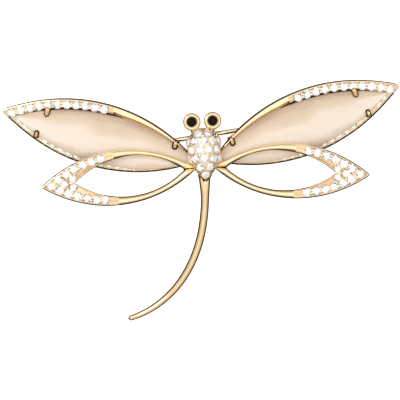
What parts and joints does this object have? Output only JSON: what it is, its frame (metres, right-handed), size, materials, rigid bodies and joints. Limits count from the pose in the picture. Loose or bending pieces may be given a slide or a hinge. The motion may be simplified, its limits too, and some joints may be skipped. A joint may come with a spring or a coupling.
{
  "type": "dragonfly brooch",
  "caption": "Gold-coloured dragonfly brooch with cat's-eye upper wings, open lower wings and body set with crystals, a curved tail and a hinged pin at the back.",
  "frame": {"origin": "middle of the outline, on the surface that the brooch lies on", "axes": "+X towards the right wing's tip as seen from the front, +Y towards the head, +Z out of the face"},
  "size_m": [0.065, 0.0371, 0.0074],
  "materials": {
    "gold_metal": "polished, pale gold plate",
    "cats_eye": "polished, silky cream with a soft band of light",
    "crystal": "cut and polished, clear",
    "black_stone": "cut and polished, black"
  },
  "bodies": {
    "brooch": {"metal_frame": "gold_metal", "cats_eye_left": "cats_eye", "cats_eye_right": "cats_eye", "eye_stone_left": "black_stone", "eye_stone_right": "black_stone", "wing_crystals_left": "crystal", "wing_crystals_right": "crystal", "lower_crystals_left": "crystal", "lower_crystals_right": "crystal", "body_crystals": "crystal"},
    "pin": {"pin_stem": "gold_metal"}
  },
  "joints": [
    {"name": "pin_hinge", "type": "hinge", "parent": "brooch", "child": "pin", "pos_m": [-0.0085, 0.01013, 0.001], "axis": [-0.0958, 0.9954, 0], "range_deg": [0, 100]}
  ]
}
